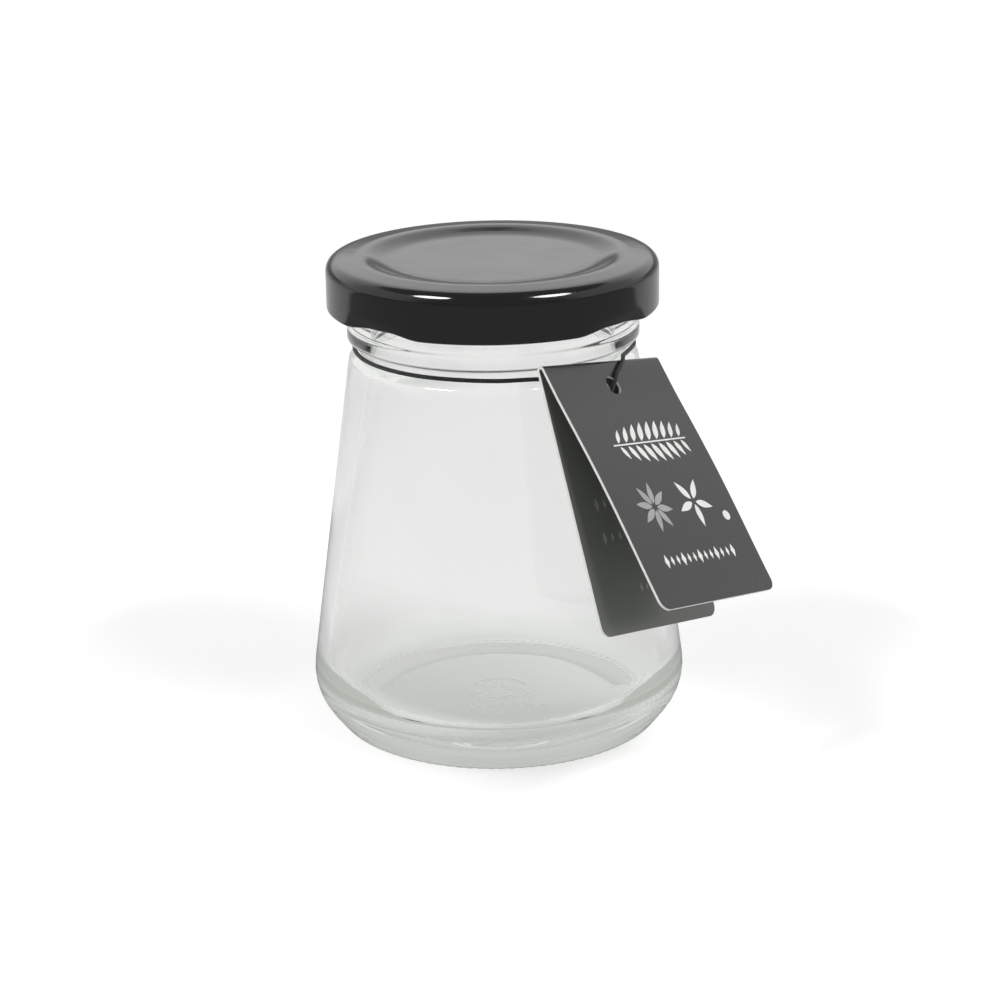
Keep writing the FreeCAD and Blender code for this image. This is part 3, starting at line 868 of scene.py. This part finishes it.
for name, mark, places in (
    ("print_inner_rosette", petal, rosette(0, INNER_ROSETTE_ALONG, 8, 1.2)),
    ("print_inner_rows", lozenge, inner_rows),
):
    lay_on(repeated(name, mark, places, faint_ink), -print_lift, -1)

# ---- elastic cord ----
# The cord is thin round elastic with a knitted black cover. It goes from its knot out
# through the back panel, once round the waist of the jar, over the fold and in through
# the front panel.
CORD_D, CORD_DROP, CORD_GAP = 0.00065, 0.0016, 0.0002
CORD_Z = BEAD_LOW - CORD_DROP
RING_R = WAIST_R + CORD_GAP + CORD_D / 2
RING_START, RING_STEP, RING_POINTS = math.radians(-76), math.radians(30), 10
KNOT_DROP, KNOT_LEAD, CORD_SPACING = 0.0060, 0.0010, 0.0007
# The cord's route off the waist, with heights from the cord's middle there.
CORD_TO_NECK = [
    (0.0160, -0.0180, -0.0030),
    (0.0152, -0.0175, -0.0024),
    (0.0143, -0.0176, -0.0016),
    (0.0131, -0.0186, -0.0008),
    (0.0104, -0.0196, -0.0004),
    (0.0058, -0.0207, -0.0001),
]
CORD_TO_KNOT = [
    (0.0204, -0.0067, 0.0001),
    (0.0194, -0.0104, 0.0005),
    (0.0194, -0.0120, 0.0008),
    (0.0192, -0.0139, 0.0004),
    (0.0186, -0.0158, -0.0002),
    (0.0181, -0.0172, -0.0008),
    (0.0178, -0.0180, -0.0016),
    (0.0173, -0.0182, -0.0029),
]


def over_knot(along, above):
    """A point that far above the knot's top, and along the fold from its middle."""
    lean = (FRONT_LEAN + BACK_LEAN) / 2
    down = Vector((0, -math.sin(lean), -math.cos(lean)))
    return hang @ (Vector((along, 0, 0)) + down * (KNOT_DROP - above))


def thread_curve(name, points, diameter):
    """A round cord along a smooth NURBS line."""
    curve = bpy.data.curves.new(name, "CURVE")
    curve.dimensions = "3D"
    curve.bevel_depth = diameter / 2
    curve.bevel_resolution = 4
    curve.resolution_u = 8
    curve.use_fill_caps = True
    line = curve.splines.new("NURBS")
    line.points.add(len(points) - 1)
    for point, place in zip(line.points, points):
        point.co = (*place, 1)
    line.order_u = 3
    line.use_endpoint_u = True
    piece = bpy.data.objects.new(name, curve)
    collection.objects.link(piece)
    return piece


corner_r = RING_R / math.cos(RING_STEP / 2)
waist = []
for i in range(RING_POINTS):
    bearing = RING_START - (i + 0.5) * RING_STEP
    waist.append((corner_r * math.cos(bearing), corner_r * math.sin(bearing), 0))
round_neck = [Vector(point) + Vector((0, 0, CORD_Z))
              for point in CORD_TO_NECK + waist + CORD_TO_KNOT]
apart = CORD_SPACING / 2
route = [over_knot(-apart, 0), over_knot(-apart, KNOT_LEAD), *round_neck,
         over_knot(apart, KNOT_LEAD), over_knot(apart, 0)]

knit, mix = new_material("black elastic cover")
spot = add(mix, "ShaderNodeTexCoord").outputs["Object"]
stitch = add(mix, "ShaderNodeTexVoronoi", {"Vector": spot, "Scale": 5200.0})
stitch = stitch.outputs["Distance"]
surface(mix, {
    "Base Color": two_tone(mix, stitch, (0.020, 0.020, 0.021), (0.007, 0.007, 0.008)),
    "Roughness": 0.75,
    "Sheen Weight": 0.25,
    "Normal": bumped(mix, stitch, strength=0.6, distance=0.00008, invert=True),
})

cord = thread_curve("neck_cord", route, CORD_D)
cord.data.materials.append(knit)
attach(cord, "root")
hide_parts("cord")

# ---- knot ----
# The two ends of the elastic are tied in one overhand knot between the panels, and
# trimmed short below it.
KNOT_SIZE, KNOT_STEPS, KNOT_OPENING = 0.0008, 18, math.radians(60)
KNOT_PHASE = 0.12                       # how far one strand runs ahead of the other
KNOT_LOOPS, KNOT_REACH, KNOT_FLATNESS = 1.5, 2.4, 0.8
# Each tail's points: down from the knot's middle, out to the strand's side, and forwards.
TAIL = ((0.0016, 0.0006, 0), (0.0028, 0.0014, 0), (0.0046, 0.0017, 0.0002))

knot_middle = over_knot(0, -KNOT_SIZE)
knot_down = (over_knot(0, -KNOT_LEAD) - over_knot(0, 0)).normalized()
knot_side = (hang.to_3x3() @ Vector((1, 0, 0))).normalized()
knot_out = knot_down.cross(knot_side)


def from_knot(down, aside, out):
    """A point given from the knot's middle."""
    return knot_middle + knot_down * down + knot_side * aside + knot_out * out


def knot_line(strand):
    """One strand (-1 or 1) of the knot: from its top round an open trefoil to its tail."""
    points = [over_knot(strand * apart, 0)]
    sweep = 2 * math.pi - KNOT_OPENING
    for i in range(KNOT_STEPS + 1):
        t = sweep * (i / KNOT_STEPS - 0.5) + strand * KNOT_PHASE
        aside = (math.sin(t) + KNOT_LOOPS * math.sin(2 * t)) / KNOT_REACH
        down = (math.cos(t) - KNOT_LOOPS * math.cos(2 * t)) / KNOT_REACH * KNOT_FLATNESS
        out = -math.sin(3 * t) / 2
        points.append(from_knot(KNOT_SIZE * down, KNOT_SIZE * aside, KNOT_SIZE * out))
    return points + [from_knot(down, strand * aside, out) for down, aside, out in TAIL]


strands = [thread_curve(f"strand {strand}", knot_line(strand), CORD_D) for strand in (-1, 1)]
joined = bmesh.new()
graph = bpy.context.evaluated_depsgraph_get()
for strand in strands:
    shaped = bpy.data.meshes.new_from_object(strand.evaluated_get(graph), depsgraph=graph)
    joined.from_mesh(shaped)
    bpy.data.objects.remove(strand)
knot_mesh = bpy.data.meshes.new("cord_knot")
joined.to_mesh(knot_mesh)
joined.free()
knot_mesh.materials.append(knit)
for face in knot_mesh.polygons:
    face.use_smooth = True
knot = bpy.data.objects.new("cord_knot", knot_mesh)
collection.objects.link(knot)
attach(knot, "root")
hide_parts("knot")
